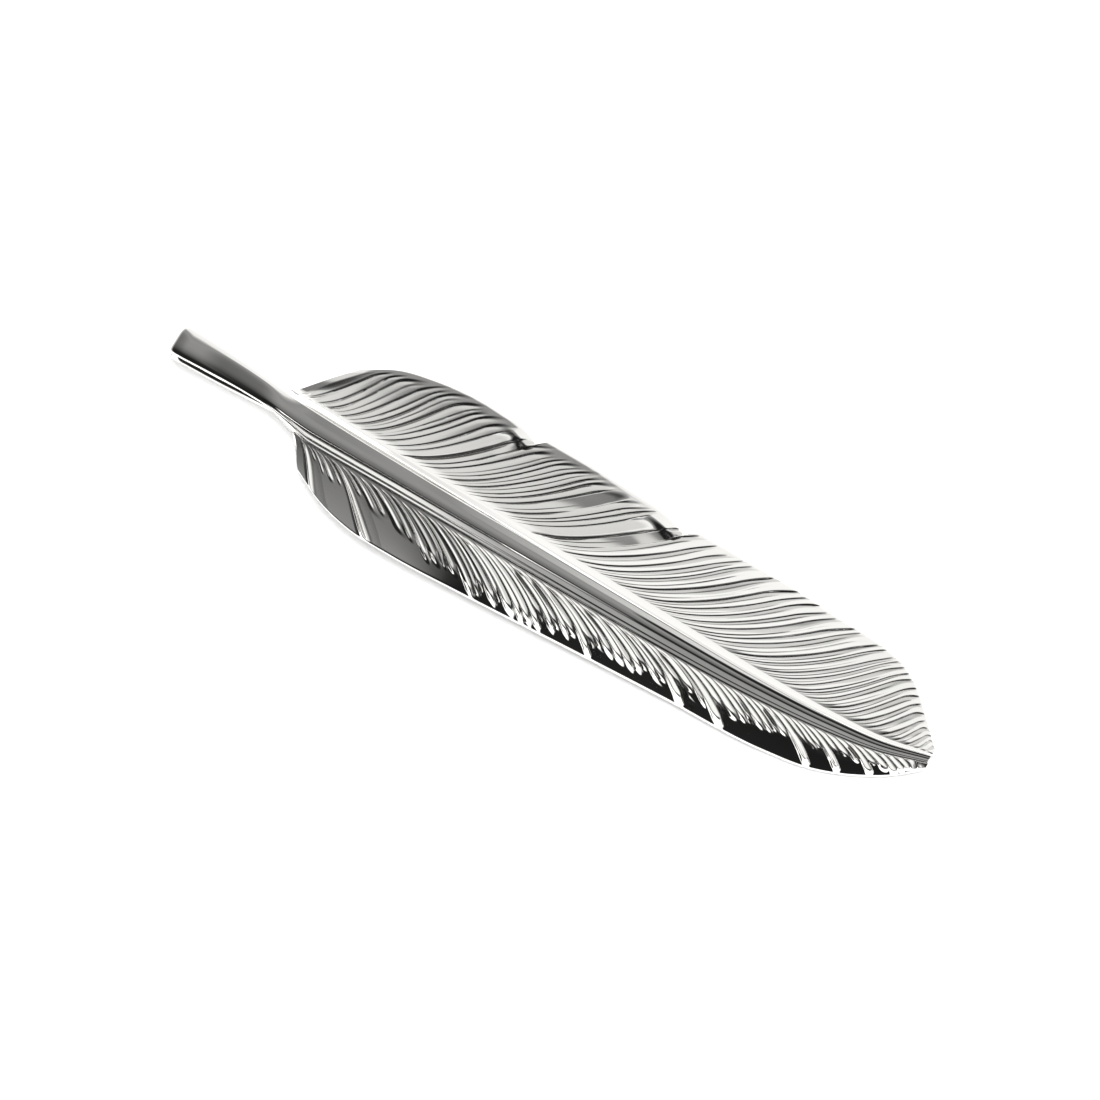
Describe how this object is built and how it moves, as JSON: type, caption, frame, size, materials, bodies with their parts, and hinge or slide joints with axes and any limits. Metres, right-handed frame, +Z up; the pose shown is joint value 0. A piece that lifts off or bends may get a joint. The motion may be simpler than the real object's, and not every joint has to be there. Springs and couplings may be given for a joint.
{
  "type": "cast silver feather pendant",
  "caption": "Cast silver feather pendant: barbed, split vanes on a raised shaft, with the quill bent back under itself as a bail.",
  "frame": {"origin": "bottom centre of the part's box, on the surface that it lies on", "axes": "+X from the quill's bend to the feather's tip, +Y to the wide vane with its splits, +Z up out of the face"},
  "size_m": [0.0792, 0.0168, 0.004],
  "materials": {
    "silver": "polished"
  },
  "bodies": {
    "root": {"feather_pendant": "silver"}
  },
  "joints": []
}
